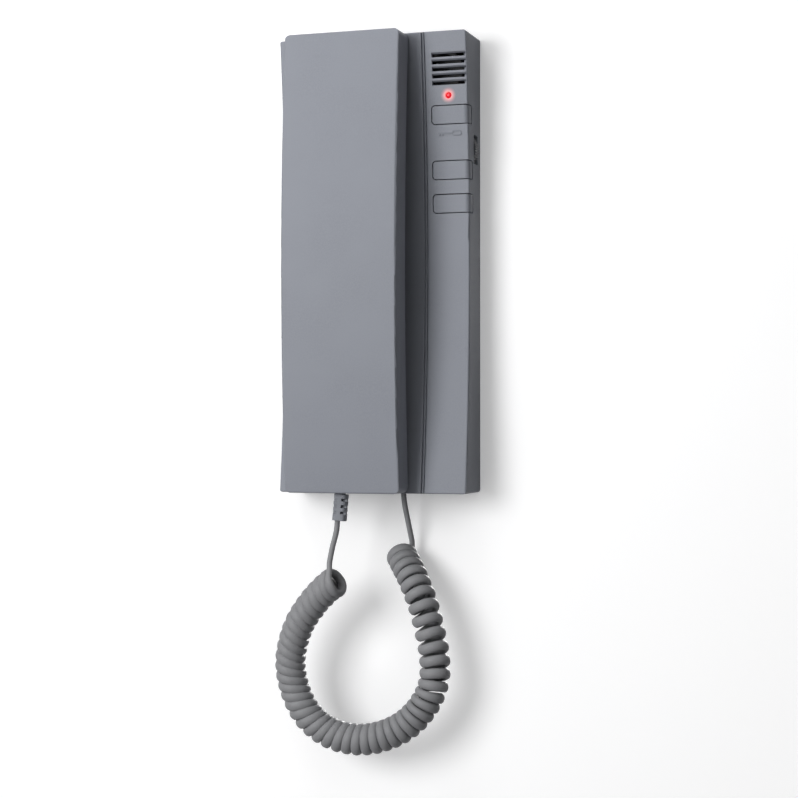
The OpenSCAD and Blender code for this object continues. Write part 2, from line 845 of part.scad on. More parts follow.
module button_switches() {
  color(dark_grey)
    for (button = button_z) {
      z = button - button_post_drop;
      out_box(
        [button_post_x - switch_size / 2, button_post_x + switch_size / 2],
        [board_front, board_front + switch_body_t],
        [z - switch_size / 2, z + switch_size / 2]
      );
      out_cylinder(
        button_post_x, z, switch_stem_r, board_front + switch_body_t - thin_gap,
        base_out(button) - button_wrap - button_travel - switch_gap
      );
    }
}

// Puts a shape on the panel at height z: its Y = 0 is the panel's face there, and +Y goes into the base
module on_panel(z) {
  translate([0, -base_out(z), z])
    rotate([asin(z / base_arc_r), 0, 0]) children();
}

// Section of a button in X and depth, rounded where it turns the edge
module button_section() {
  deep = 3 * button_wrap;
  square([base_half_w - button_edge_r, deep]);
  translate([0, button_edge_r]) square([base_half_w, deep - button_edge_r]);
  translate([base_half_w - button_edge_r, button_edge_r]) circle(button_edge_r);
}

// A button that turns the right edge of the base
module panel_button(z) {
  top = base_out(z);
  lip_h = button_h - 2 * button_corner_r;
  color(grey_plastic) {
    difference() {
      intersection() {
        on_panel(z) translate([0, 0, -button_h]) linear_extrude(2 * button_h) button_section();
        out_extrude(0, base_d + past) button_front_outline(z, 0);
        side_extrude(0, base_w) button_side_outline(z, 0, 0);
      }
      out_box(
        [button_x + button_wall, base_half_w - button_wall],
        [0, top - 2 * button_wall],
        [z - button_h / 2 + button_wall, z + button_h / 2 - button_wall]
      );
    }
    out_cylinder(button_post_x, z - button_post_drop, button_post_r, top - button_wrap, top - button_wall);
    on_panel(z)
      translate([button_x - button_lip, base_wall + run_gap, -lip_h / 2])
        cube([button_lip + button_wall / 2, button_lip_t, lip_h]);
  }
}

module door_button() {
  panel_button(door_button_z);
}

module middle_button() {
  panel_button(middle_button_z);
}

module lower_button() {
  panel_button(lower_button_z);
}

module volume_pot() {
  color(dark_grey)
    difference() {
      out_cylinder(wheel_x, wheel_z, pot_r, board_front, board_front + pot_t);
      out_cylinder(wheel_x, wheel_z, spindle_r + spin_gap, board_front - past, board_front + pot_t + past);
    }
}

module volume_wheel() {
  floor_out = board_front + pot_t + pot_room;
  color(dark_grey) {
    difference() {
      out_extrude(wheel_out, wheel_front)
        translate([wheel_x, wheel_z])
          polygon([
            for (i = [0:2 * wheel_teeth - 1])
              let (r = wheel_r - wheel_tooth * (i % 2))
              let (a = 180 * i / wheel_teeth)
              r * [cos(a), sin(a)]
          ]);
      out_cylinder(wheel_x, wheel_z, pot_r + pot_room, wheel_out - past, floor_out);
    }
    out_cylinder(wheel_x, wheel_z, spindle_r, board_front + thin_gap, floor_out + past);
  }
}

module hook_plunger() {
  color(grey_plastic) {
    out_cylinder(hs_x, hook_z, hook_r, hook_flange_out, hook_tip);
    out_cylinder(hs_x, hook_z, hook_flange_r, hook_flange_out, hook_flange_top);
    out_cylinder(hs_x, hook_z, hook_tail_r, hook_switch_out + hook_tail_gap, hook_flange_out + thin_gap);
  }
}

module hook_spring() {
  color(steel) tube(spring_rings);
}

module hook_switch() {
  color(dark_grey)
    out_box(
      [hs_x - hook_switch_w / 2, hs_x + hook_switch_w / 2],
      [board_front, hook_switch_out],
      [hook_z - hook_switch_h / 2, hook_z + hook_switch_h / 2]
    );
}

module terminal_block() {
  color(terminal_green)
    difference() {
      out_box(
        [terminal_x, terminal_x + terminal_w],
        [board_front, terminal_top],
        [terminal_z, terminal_z + terminal_h]
      );
      for (i = [0:terminal_count - 1]) {
        out_cylinder(
          terminal_mid_x, terminal_at(i), terminal_screw_r + spin_gap, terminal_top - 2 * terminal_screw_t,
          terminal_top + past
        );
        out_box(
          [terminal_x - past, terminal_x + terminal_wire_l],
          [board_front + past, board_front + past + terminal_wire_h],
          [terminal_at(i) - terminal_screw_r, terminal_at(i) + terminal_screw_r]
        );
      }
    }
}

module terminal_screws() {
  color(steel)
    for (i = [0:terminal_count - 1])
      difference() {
        out_cylinder(
          terminal_mid_x, terminal_at(i), terminal_screw_r, terminal_top - 2 * terminal_screw_t,
          terminal_top - terminal_screw_t
        );
        out_box(
          [terminal_mid_x - 2 * terminal_screw_r, terminal_mid_x + 2 * terminal_screw_r],
          [terminal_top - terminal_screw_t - terminal_slot_d, terminal_top],
          [terminal_at(i) - terminal_slot_half_w, terminal_at(i) + terminal_slot_half_w]
        );
      }
}

module cover_screw() {
  color(steel)
    translate([lug_x, -lug_out, -base_half_h])
      difference() {
        union() {
          cylinder(r = cover_screw_head_r, h = cover_screw_head_t);
          cylinder(r = cover_screw_r, h = cover_screw_l);
        }
        for (turn = [0, 90])
          rotate([0, 0, turn])
            translate([-cover_screw_head_r * cross_reach, -cross_half_w, -past])
              cube([
                2 * cover_screw_head_r * cross_reach,
                2 * cross_half_w,
                past + cover_screw_head_t * cross_depth
              ]);
      }
}

module cord_grommet() {
  color(rubber_black)
    translate([grommet_x, -grommet_out, -base_half_h])
      difference() {
        union() {
          cylinder(r = grommet_r, h = base_wall);
          translate([0, 0, base_wall]) cylinder(r = grommet_flange_r, h = grommet_flange_t);
        }
        translate([0, 0, -past]) cylinder(r = grommet_bore_r, h = base_wall + grommet_flange_t + 2 * past);
      }
}

// A plain key: a long ring, a bar and two teeth, in low relief
module key_symbol() {
  bar_l = key_l - key_ring_l + key_bar_t / 2;
  ring_r = key_ring_h / 2 - thin_gap;
  color(symbol_grey)
    intersection() {
      difference() {
        out_extrude(base_mid_out, base_d)
          translate([key_x - key_l / 2, key_z]) {
            translate([key_l - key_ring_l / 2, 0])
              difference() {
                rounded_rect(key_ring_l, key_ring_h, ring_r);
                rounded_rect(key_ring_l - 2 * key_bar_t, key_ring_h - 2 * key_bar_t, ring_r - key_bar_t);
              }
            translate([0, -key_bar_t / 2]) square([bar_l, key_bar_t]);
            for (i = [0, 1])
              translate([key_bar_t / 2 + i * 2 * key_bar_t, -key_tooth_l - key_bar_t / 2])
                square([key_bar_t, key_tooth_l + key_bar_t / 2]);
          }
        before_base_front(-key_relief);
      }
      before_base_front(-thin_gap);
    }
}

// Handset pieces

// Side view of the handset: its front corners are rounded where the bowed front ends
module handset_side_profile() {
  centre_z = hs_half_h - hs_edge_r;
  centre_out = hs_axis_out + sqrt(pow(hs_arc_r - hs_edge_r, 2) - centre_z * centre_z);
  tangent_z = centre_z * hs_arc_r / (hs_arc_r - hs_edge_r);
  translate([0, -hs_half_h]) square([centre_out, hs_h]);
  translate([0, -tangent_z]) square([2 * hs_mid_out, 2 * tangent_z]);
  for (side = [-1, 1])
    translate([centre_out, side * centre_z]) circle(hs_edge_r);
}

// Section of the handset, with its front edges rounded
module handset_section() {
  half = hs_w / 2;
  translate([hs_back_r, hs_x - half]) square([hs_side - hs_edge_r, hs_w]);
  translate([hs_back_r, hs_x - half + hs_edge_r]) square([hs_side, hs_w - 2 * hs_edge_r]);
  for (side = [-1, 1])
    translate([hs_arc_r - hs_edge_r, hs_x + side * (half - hs_edge_r)]) circle(hs_edge_r);
}

// Space between two depths of the handset, measured from its back, and inside its walls
module handset_layer(from, to, inset) {
  intersection() {
    handset_sweep()
      translate([hs_back_r + from, hs_x - hs_w / 2 + inset]) square([to - from, hs_w - 2 * inset]);
    out_box([-base_w, base_w], [0, 2 * hs_mid_out], [-hs_half_h + inset, hs_half_h - inset]);
  }
}

module handset_front_shell() {
  color(grey_plastic)
    difference() {
      union() {
        difference() {
          intersection() {
            handset_sweep() handset_section();
            side_extrude(-base_w, base_w) handset_side_profile();
            out_extrude(0, 2 * hs_mid_out)
              translate([hs_x, 0]) rounded_rect(hs_w, hs_h, hs_corner_r);
          }
          handset_layer(-past, hs_side - hs_wall, hs_wall);
        }
        for (z = hs_screw_z)
          out_cylinder(
            hs_x, z, hs_boss_r, hs_back_out(z) + hs_wall + run_gap, hs_back_out(z) + hs_side - hs_wall / 2
          );
      }
      for (z = hs_screw_z)
        out_cylinder(
          hs_x, z, hs_screw_r + spin_gap, hs_back_out(z), hs_back_out(z) + hs_screw_l + past
        );
      translate([boot_x, -boot_out, -hs_half_h])
        rotate([0, boot_lean, 0])
          translate([0, 0, -2 * hs_wall]) cylinder(r = boot_neck_r + spin_gap, h = 4 * hs_wall);
    }
}

// A cup in the back of the handset
module cup_outside(z, r, floor_out) {
  intersection() {
    out_cylinder(hs_x, z, r + cup_wall, floor_out - 2 * cup_depth, floor_out + cup_wall);
    handset_layer(0, hs_side, hs_wall + fix_gap);
  }
}

module handset_back_shell() {
  color(grey_plastic)
    difference() {
      union() {
        handset_layer(0, hs_wall, hs_wall + fix_gap / 2);
        cup_outside(ear_z, ear_cup_r, ear_floor);
        cup_outside(low_z, low_cup_r, low_floor);
        out_cylinder(hs_x, mic_z, mic_seat_r, hs_back_out(mic_z) + hs_wall / 2, mic_seat_out);
      }
      out_cylinder(hs_x, ear_z, ear_cup_r, 0, ear_floor);
      out_cylinder(hs_x, low_z, low_cup_r, 0, low_floor);
      out_cylinder(hs_x, ear_z, ear_hole_r, 0, ear_floor + cup_wall + past);
      for (i = [0:ear_hole_count - 1])
        out_cylinder(
          hs_x + ear_hole_ring_r * cos(360 * i / ear_hole_count),
          ear_z + ear_hole_ring_r * sin(360 * i / ear_hole_count),
          ear_hole_r, 0, ear_floor + cup_wall + past
        );
      for (dx = [-1, 0, 1])
        out_cylinder(hs_x + dx * 3 * mic_hole_r, mic_z, mic_hole_r, 0, mic_seat_out + past);
      for (z = hs_screw_z) {
        out_cylinder(hs_x, z, hs_screw_r + run_gap, 0, hs_mid_out);
        out_cylinder(hs_x, z, hs_screw_head_r + run_gap, 0, hs_back_out(z) + hs_screw_head_t);
      }
    }
}

module earpiece_gasket() {
  color(rubber_black)
    difference() {
      out_cylinder(hs_x, ear_z, speaker_r, ear_floor + cup_wall, ear_floor + cup_wall + gasket_t);
      out_cylinder(hs_x, ear_z, speaker_r - gasket_w, ear_floor, ear_floor + cup_wall + gasket_t + past);
    }
}

module earpiece_speaker() {
  low = ear_floor + cup_wall + gasket_t;
  color(steel) {
    out_cylinder(hs_x, ear_z, speaker_r, low, low + speaker_frame_t);
    out_cylinder(hs_x, ear_z, speaker_magnet_r, low, low + speaker_t);
  }
}

module microphone_boot() {
  color(rubber_black)
    difference() {
      out_cylinder(hs_x, mic_z, mic_r + mic_boot_wall, mic_seat_out, mic_seat_out + mic_t);
      out_cylinder(hs_x, mic_z, mic_r + spin_gap, mic_seat_out - past, mic_seat_out + mic_t + past);
    }
}

module microphone() {
  color(steel) out_cylinder(hs_x, mic_z, mic_r, mic_seat_out, mic_seat_out + mic_t);
}

module handset_screws() {
  color(steel)
    for (z = hs_screw_z) {
      head = hs_back_out(z) + hs_screw_head_t;
      translate([hs_x, -head, z])
        rotate([0, 0, 180])
          out_screw(0, 0, hs_screw_r, hs_screw_head_r, hs_screw_head_t, -hs_screw_l + hs_screw_head_t, 0);
    }
}

module cord_boot() {
  color(grey_plastic)
    translate([boot_x, -boot_out, -hs_half_h])
      rotate([0, boot_lean, 0])
        difference() {
          union() {
            translate([0, 0, -boot_l])
              linear_extrude(boot_l - boot_gap) rounded_rect(boot_w, boot_d, boot_round_r);
            translate([0, 0, -past]) cylinder(r = boot_neck_r, h = past + hs_wall + boot_gap);
            translate([0, 0, hs_wall + boot_gap]) cylinder(r = boot_flange_r, h = boot_flange_t);
          }
          for (row = [0:boot_rows - 1], side = [-1, 1], face = [-1, 1])
            translate([
              side * (boot_w + boot_spine_w) / 2,
              face * (boot_d + boot_web_t) / 2,
              -boot_first_row - row * boot_row_pitch
            ])
              cube([boot_w, boot_d, boot_notch_h], center = true);
        }
}

// Cord

module handset_lead() {
  refs = [for (p = handset_route) start_ref];
  color(cord_grey) tube(tube_rings(handset_route, refs, lead_d / 2, lead_d / 2, lead_sides));
}

module cord_coil() {
  color(cord_grey) tube(coil_rings);
}

module base_lead() {
  refs = [for (p = base_route) end_ref];
  color(cord_grey) tube(tube_rings(base_route, refs, lead_d / 2, lead_d / 2, lead_sides));
}

wall_plate();
base_cover();
circuit_board();
board_screws();
sounder();
sounder_gasket();
status_led();
led_spacer();
button_switches();
door_button();
middle_button();
lower_button();
volume_pot();
volume_wheel();
hook_plunger();
hook_spring();
hook_switch();
terminal_block();
terminal_screws();
cover_screw();
cord_grommet();
key_symbol();
handset_front_shell();
handset_back_shell();
earpiece_speaker();
earpiece_gasket();
microphone();
microphone_boot();
handset_screws();
cord_boot();
handset_lead();
cord_coil();
base_lead();
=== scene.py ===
# Looks of a wall-mounted audio intercom with a lift-off handset and a curly cord.
import json
import math

import bpy
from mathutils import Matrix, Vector


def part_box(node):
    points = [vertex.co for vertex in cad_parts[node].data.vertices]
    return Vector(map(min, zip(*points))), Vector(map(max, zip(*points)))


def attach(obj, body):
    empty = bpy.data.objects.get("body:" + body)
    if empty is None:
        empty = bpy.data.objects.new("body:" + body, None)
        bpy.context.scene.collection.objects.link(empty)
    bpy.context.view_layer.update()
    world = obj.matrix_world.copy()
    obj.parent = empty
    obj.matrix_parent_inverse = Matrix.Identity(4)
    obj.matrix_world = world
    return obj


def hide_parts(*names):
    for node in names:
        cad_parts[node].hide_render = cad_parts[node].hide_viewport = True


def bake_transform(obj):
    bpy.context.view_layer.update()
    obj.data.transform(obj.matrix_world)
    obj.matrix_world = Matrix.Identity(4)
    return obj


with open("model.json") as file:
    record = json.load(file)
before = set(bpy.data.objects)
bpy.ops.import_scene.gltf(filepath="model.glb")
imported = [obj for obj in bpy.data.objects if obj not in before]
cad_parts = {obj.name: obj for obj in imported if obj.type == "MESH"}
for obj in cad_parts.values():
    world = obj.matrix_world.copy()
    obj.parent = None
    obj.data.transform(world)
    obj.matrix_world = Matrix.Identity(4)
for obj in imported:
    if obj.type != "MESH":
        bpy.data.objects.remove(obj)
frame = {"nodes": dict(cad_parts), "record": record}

MM = 0.001
scene = bpy.context.scene
nodes = frame["nodes"]
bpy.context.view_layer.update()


# Camera: it stands to the right of the object and looks slightly up

CAMERA_AT = (0.2825, -0.8390, -0.0701)
CAMERA_YAW = 18.262
CAMERA_TILT = 90.467
CAMERA_LENS = 83.32
SENSOR_W = 36.0


def make_camera():
    """The scene's camera, at the photograph's viewing angle."""
    data = bpy.data.cameras.new("camera")
    data.lens = CAMERA_LENS
    data.sensor_width = SENSOR_W
    camera = bpy.data.objects.new("camera", data)
    camera.location = CAMERA_AT
    camera.rotation_euler = (math.radians(CAMERA_TILT), 0, math.radians(CAMERA_YAW))
    scene.collection.objects.link(camera)
    scene.camera = camera


make_camera()


# Cord: the routes' points, in millimetres, and the curls' number and lean are those of the solids

HANDSET_ROUTE = [
    (-14.12, -31.5, -119.54), (-14.52, -31.5, -124), (-15.5, -31.6, -128.3), (-16.4, -31.9, -131.8),
    (-16.9, -32.4, -135),
]
BASE_ROUTE = [
    (12.5, -14, -103.7), (12.5, -13.9, -107.5), (12.9, -12.6, -114), (13.4, -10, -120.5),
    (13.8, -7.4, -126.5),
]
COIL_ROUTE = [
    (-14.2, -31.5, -147.6), (-20, -29.6, -151.4), (-28, -28.5, -159.5), (-35.5, -27.5, -171),
    (-39.5, -26.5, -186), (-37.5, -25.5, -200), (-31, -25, -212), (-20.5, -24, -219.8),
    (-8, -23.5, -222.3), (4, -23.3, -220.5), (15.5, -23, -215), (24.5, -23, -206),
    (30, -23, -194.5), (30.3, -22.5, -182), (27.3, -22, -168), (24, -21, -157.5),
    (18.6, -17.5, -147.5), (13.3, -12.5, -140.8), (8.8, -7.2, -136),
]

# Curls: their number, where the first one starts, how they ease apart and how they lean along the coil
CURL_COUNT = 47 + 31 / 40
CURL_START = math.radians(-50)
CURL_EASE = 0.34
EASE_FROM = 0.6
CURL_LEAN = math.radians(18)
LEAN_FROM = math.radians(25)
LEAN_SPAN = math.radians(325)
CURL_R = 5.7 * MM

# Joins of the curls to the straight leads
JOIN_PULL = 2.4 * MM
STUB_L = 3.2 * MM

# Half thickness and half width of the cord, and how much of the room between two curls one may fill
LEAD_HALF_T = 1.3 * MM
CURL_HALF_T = 1.75 * MM
CURL_HALF_W = 2.45 * MM
CURL_FILL = 0.45
CURL_SQUARENESS = 2.05

# Fineness of the mesh
CURL_STEPS = 24
LEAD_STEPS = 6
JOIN_STEPS = 10
WIDEN_STEPS = 4
AXIS_SAMPLES = 1400
TANGENT_REACH = 2
CORD_SIDES = 16

# Where the cord's two pieces meet, as a share of the coil
CUT_SHARE = 0.461


def in_metres(points):
    """The points, given in millimetres, as vectors in metres."""
    return [Vector(p) * MM for p in points]


def smooth_point(points, u):
    """Point of a smooth curve through the points, u from 0 to the last index."""
    last = len(points) - 1
    i = min(last - 1, int(u))
    t = u - i
    a, b, c, d = (points[max(0, min(last, k))] for k in (i - 1, i, i + 1, i + 2))
    return 0.5 * (
        2 * b + (c - a) * t + (2 * a - 5 * b + 4 * c - d) * t ** 2 + (3 * b - a - 3 * c + d) * t ** 3
    )


def smooth_line(points, steps):
    """Points of the smooth curve, with that many steps from one given point to the next."""
    count = (len(points) - 1) * steps
    return [smooth_point(points, i / steps) for i in range(count + 1)]


def bridge(a, along_a, b, along_b, t):
    """A short curve from a to b that leaves and arrives along the given directions."""
    return (
        (1 - t) ** 3 * a + 3 * t * (1 - t) ** 2 * (a + JOIN_PULL * along_a)
        + 3 * t ** 2 * (1 - t) * (b - JOIN_PULL * along_b) + t ** 3 * b
    )


def curls_until(share):
    """Relative count of curls up to a share of the coil: they ease apart halfway up to the base."""
    u = max(0.0, (share - EASE_FROM) / (1 - EASE_FROM))
    loosened = (1 - EASE_FROM) * (u / 2 - math.sin(2 * math.pi * u) / (4 * math.pi))
    return share - CURL_EASE * loosened


def curl_line():
    """The helix of the curls round the coil's middle line, with the radial direction at each point."""
    route = in_metres(COIL_ROUTE)
    axis = smooth_line(route, AXIS_SAMPLES // (len(route) - 1))
    along = [0.0]
    for a, b in zip(axis, axis[1:]):
        along.append(along[-1] + (b - a).length)
    count = int(CURL_COUNT * CURL_STEPS)
    line, radials, k = [], [], 0
    for i in range(count + 1):
        share = i / count
        while k < len(axis) - 2 and along[k + 1] < share * along[-1]:
            k += 1
        part = (share * along[-1] - along[k]) / (along[k + 1] - along[k])
        centre = axis[k].lerp(axis[k + 1], part)
        ahead, behind = axis[min(k + TANGENT_REACH, len(axis) - 1)], axis[max(k - TANGENT_REACH, 0)]
        tangent = (ahead - behind).normalized()
        front = (Vector((0, -1, 0)) + tangent.y * tangent).normalized()
        phase = CURL_START + 2 * math.pi * CURL_COUNT * curls_until(share) / curls_until(1)
        lean = CURL_LEAN * math.sin(LEAN_FROM + LEAN_SPAN * share)
        side = math.cos(lean) * front.cross(tangent) + math.sin(lean) * tangent
        radial = math.cos(phase) * front + math.sin(phase) * side
        line.append(centre + CURL_R * radial)
        radials.append(radial)
    return line, radials


def curl_halves(line):
    """Half the cord's thickness and width along the coil: less wide where the curls crowd."""
    halves = []
    for i, p in enumerate(line):
        near = [line[j] for j in (i - CURL_STEPS, i + CURL_STEPS) if 0 <= j < len(line)]
        room = min((p - q).length for q in near)
        rise = min(1.0, min(i, len(line) - 1 - i) / WIDEN_STEPS)
        width = min(CURL_HALF_W, CURL_FILL * room)
        thick = LEAD_HALF_T + (CURL_HALF_T - LEAD_HALF_T) * rise
        halves.append((thick, LEAD_HALF_T + (width - LEAD_HALF_T) * rise))
    return halves


def cord_path():
    """The cord's middle line from the handset to the base.

    With it come a reference direction and the half sizes at each point, and the cut's index.
    """
    lead_a = smooth_line(in_metres(HANDSET_ROUTE), LEAD_STEPS)
    lead_b = smooth_line(in_metres(BASE_ROUTE), LEAD_STEPS)
    curls, radials = curl_line()
    dir_a = (lead_a[-1] - lead_a[-2]).normalized()
    dir_b = (lead_b[-2] - lead_b[-1]).normalized()
    stub_a = lead_a[-1] + STUB_L * dir_a
    stub_b = lead_b[-1] - STUB_L * dir_b
    first = (curls[1] - curls[0]).normalized()
    last = (curls[-1] - curls[-2]).normalized()
    steps = [i / JOIN_STEPS for i in range(1, JOIN_STEPS)]
    join_a = [stub_a] + [bridge(stub_a, dir_a, curls[0], first, t) for t in steps]
    join_b = [bridge(curls[-1], last, stub_b, dir_b, t) for t in steps] + [stub_b]
    before, after = lead_a + join_a, join_b + lead_b[::-1]
    path = before + curls + after
    refs = [radials[0]] * len(before) + radials + [radials[-1]] * len(after)
    lead = (LEAD_HALF_T, LEAD_HALF_T)
    halves = [lead] * len(before) + curl_halves(curls) + [lead] * len(after)
    cut = len(before) + round(CUT_SHARE * (len(curls) - 1))
    return path, refs, halves, cut


def cord_ring(centre, direction, ref, half_t, half_w):
    """One ring of the cord: a rounded oval, thin across the curl and wide along the coil."""
    across = (ref - ref.dot(direction) * direction).normalized()
    beside = direction.cross(across)
    power = 2 / CURL_SQUARENESS if half_t > LEAD_HALF_T else 1.0
    points = []
    for k in range(CORD_SIDES):
        a = 2 * math.pi * k / CORD_SIDES
        c, s = math.cos(a), math.sin(a)
        x = math.copysign(abs(c) ** power, c)
        y = math.copysign(abs(s) ** power, s)
        points.append(centre + half_t * x * across + half_w * y * beside)
    return points


def tube(name, rings):
    """A tube through the rings, closed by flat ends."""
    faces = []
    for i in range(len(rings) - 1):
        for k in range(CORD_SIDES):
            a, b = i * CORD_SIDES + k, i * CORD_SIDES + (k + 1) % CORD_SIDES
            faces.append((a, b, b + CORD_SIDES, a + CORD_SIDES))
    end = (len(rings) - 1) * CORD_SIDES
    ends = [tuple(range(CORD_SIDES))[::-1], tuple(range(end, end + CORD_SIDES))]
    mesh = bpy.data.meshes.new(name)
    mesh.from_pydata([p for ring in rings for p in ring], [], faces + ends)
    mesh.shade_smooth()
    for face in list(mesh.polygons)[-len(ends):]:
        face.use_smooth = False
    piece = bpy.data.objects.new(name, mesh)
    scene.collection.objects.link(piece)
    return piece


def make_cord():
    """The cord in two pieces that meet behind its lowest curl."""
    path, refs, halves, cut = cord_path()
    rings = []
    for i, centre in enumerate(path):
        direction = (path[min(i + 1, len(path) - 1)] - path[max(i - 1, 0)]).normalized()
        rings.append(cord_ring(centre, direction, refs[i], *halves[i]))
    pulled = tube("cord_handset_side", rings[:cut + 1])
    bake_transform(pulled)
    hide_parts("handset_lead", "cord_coil")
    still = tube("cord_base_side", rings[cut:])
    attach(still, "base")
    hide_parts("cord_coil", "base_lead")
    return [pulled, still]


cord_pieces = make_cord()


# Node trees

MIX_FACTOR, MIX_A, MIX_B, MIX_RESULT = 0, 6, 7, 2


class Nodes:
    """Short calls to build one material's node tree."""

    def __init__(self, name):
        self.material = bpy.data.materials.new(name)
        self.material.use_nodes = True
        self.tree = self.material.node_tree
        self.shader = self.tree.nodes["Principled BSDF"]
        self.place = self.add("ShaderNodeTexCoord").outputs["Object"]

    def add(self, kind, **values):
        node = self.tree.nodes.new(kind)
        for key, value in values.items():
            setattr(node, key, value)
        return node

    def link(self, a, b):
        self.tree.links.new(a, b)

    def drive(self, name, value):
        """Links a value to one of the shader's sockets."""
        self.link(value, self.shader.inputs[name])

    def set(self, **sockets):
        """Sets the shader's sockets that are the same all over the surface."""
        for name, value in sockets.items():
            self.shader.inputs[name.replace("_", " ")].default_value = value

    def feed(self, socket, value):
        """Links another node's output to the socket, or sets a plain value on it."""
        if isinstance(value, bpy.types.NodeSocket):
            self.link(value, socket)
        else:
            socket.default_value = value

    def noise(self, scale, detail=3.0, stretch=None):
        node = self.add("ShaderNodeTexNoise")
        node.inputs["Scale"].default_value = scale
        node.inputs["Detail"].default_value = detail
        at = self.place
        if stretch:
            mapping = self.add("ShaderNodeMapping")
            mapping.inputs["Scale"].default_value = stretch
            self.link(at, mapping.inputs["Vector"])
            at = mapping.outputs["Vector"]
        self.link(at, node.inputs["Vector"])
        return node.outputs["Fac"]

    def ramp(self, value, low, high, from_low=0.3, from_high=0.7):
        """Maps a value to the range from low to high. A noise lies mostly between 0.3 and 0.7."""
        node = self.add("ShaderNodeMapRange")
        limits = {"From Min": from_low, "From Max": from_high, "To Min": low, "To Max": high}
        for name, number in limits.items():
            node.inputs[name].default_value = number
        self.link(value, node.inputs["Value"])
        return node.outputs["Result"]

    def mix(self, factor, a, b):
        node = self.add("ShaderNodeMix", data_type="RGBA")
        for index, value in ((MIX_FACTOR, factor), (MIX_A, a), (MIX_B, b)):
            self.feed(node.inputs[index], value)
        return node.outputs[MIX_RESULT]

    def bump(self, height, strength, distance, normal=None):
        node = self.add("ShaderNodeBump")
        node.inputs["Strength"].default_value = strength
        node.inputs["Distance"].default_value = distance
        self.link(height, node.inputs["Height"])
        if normal is not None:
            self.link(normal, node.inputs["Normal"])
        return node.outputs["Normal"]

    def math(self, operation, a, b):
        node = self.add("ShaderNodeMath", operation=operation)
        self.feed(node.inputs[0], a)
        self.feed(node.inputs[1], b)
        return node.outputs[0]

    def vector(self, operation, a, b=None):
        node = self.add("ShaderNodeVectorMath", operation=operation)
        self.feed(node.inputs[0], a)
        if b is not None:
            self.feed(node.inputs[1], b)
        return node.outputs


def shade(color, factor):
    """The colour, lighter or darker by a factor."""
    return tuple(min(1.0, c * factor) for c in color[:3]) + (1.0,)


# Moulded plastic and rubber. Noise scales are per metre

CLOUD_SCALE = 38.0
GRAIN_SCALE = 2600.0
GRAIN_DEPTH = 0.06 * MM
GRAIN_STRENGTH = 0.35
SPECK_OF_GRAIN = 0.6
GLOSS_OF_GRAIN = 0.25
GLOSS_SPREAD = 0.05
MOTTLE = 0.04
EDGE_R = 0.25 * MM
EDGE_SAMPLES = 6
PLASTIC_IOR = 1.5
PLASTIC_SPECULAR = 0.22

# Painted highlight on the edges: its tone, the most of it, and how alike the rounded and the flat
# normal are there
EDGE_HIGHLIGHT_TONE = 1.25
EDGE_HIGHLIGHT_MOST = 0.35
HIGHLIGHT_FULL_AT, HIGHLIGHT_NONE_AT = 0.8, 0.995

# The housing's plastic
GREY = (0.278, 0.292, 0.33, 1.0)
GREY_ROUGH = 0.55


def moulded(name, color, rough, grain=GRAIN_SCALE, mottle=MOTTLE, edge=EDGE_R):
    """Moulded plastic or rubber: fine spark-eroded grain, faint mottling, and edges lightened by a
    painted highlight.
    """
    n = Nodes(name)
    cloud = n.ramp(n.noise(CLOUD_SCALE, detail=2.0), 0.0, 1.0)
    tone = n.mix(cloud, shade(color, 1 - mottle), shade(color, 1 + mottle))
    speck = n.ramp(n.noise(grain * SPECK_OF_GRAIN, detail=2.0), 0.0, 1.0)
    tone = n.mix(speck, tone, shade(color, 1 + mottle))
    bevel = n.add("ShaderNodeBevel", samples=EDGE_SAMPLES)
    bevel.inputs["Radius"].default_value = edge
    rounded = bevel.outputs["Normal"]
    flat = n.add("ShaderNodeNewGeometry").outputs["Normal"]
    same = n.vector("DOT_PRODUCT", rounded, flat)["Value"]
    # Painted highlight: a lighter tone where the rounded normal turns away from the flat one, at the
    # edges
    edge_highlight = n.ramp(same, EDGE_HIGHLIGHT_MOST, 0.0, HIGHLIGHT_FULL_AT, HIGHLIGHT_NONE_AT)
    n.drive("Base Color", n.mix(edge_highlight, tone, shade(color, EDGE_HIGHLIGHT_TONE)))
    gloss = n.noise(grain * GLOSS_OF_GRAIN)
    n.drive("Roughness", n.ramp(gloss, rough - GLOSS_SPREAD, rough + GLOSS_SPREAD))
    n.drive("Normal", n.bump(n.noise(grain, detail=4.0), GRAIN_STRENGTH, GRAIN_DEPTH, rounded))
    n.set(IOR=PLASTIC_IOR, Specular_IOR_Level=PLASTIC_SPECULAR)
    return n


# Lamp: its glow painted on the panel as emission, which fades from the first distance to the second,
# and its lens

GLOW_COLOR = (1.0, 0.27, 0.24, 1.0)
GLOW_MOST = 0.95
GLOW_FROM, GLOW_TO = 1.4 * MM, 3.9 * MM
GLOW_FALL = 1.6
LENS_RIM = (0.42, 0.0015, 0.01, 1.0)
LENS_MIDDLE = (0.95, 0.08, 0.1, 1.0)
LENS_MIDDLE_FROM, LENS_MIDDLE_TO = 0.1 * MM, 0.7 * MM
LENS_ROUGH = 0.15
FLECK_SCALE = 1800.0
FLECK_LEAST = 0.85


def led_distance(n):
    """Distance of a point from the lamp's axis, in metres."""
    low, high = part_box("status_led")
    apart = n.vector("SUBTRACT", n.place, (low + high) / 2)["Vector"]
    flat = n.vector("MULTIPLY", apart, (1, 0, 1))["Vector"]
    return n.vector("LENGTH", flat)["Value"]


def cover_plastic():
    """The base's plastic, with the lamp's red glow painted on the panel round it as emission."""
    n = moulded("cover_plastic", GREY, GREY_ROUGH)
    # Painted light: the panel itself emits red round the lamp
    glow = n.ramp(led_distance(n), GLOW_MOST, 0.0, GLOW_FROM, GLOW_TO)
    n.drive("Emission Strength", n.math("POWER", glow, GLOW_FALL))
    n.set(Emission_Color=GLOW_COLOR)
    return n.material


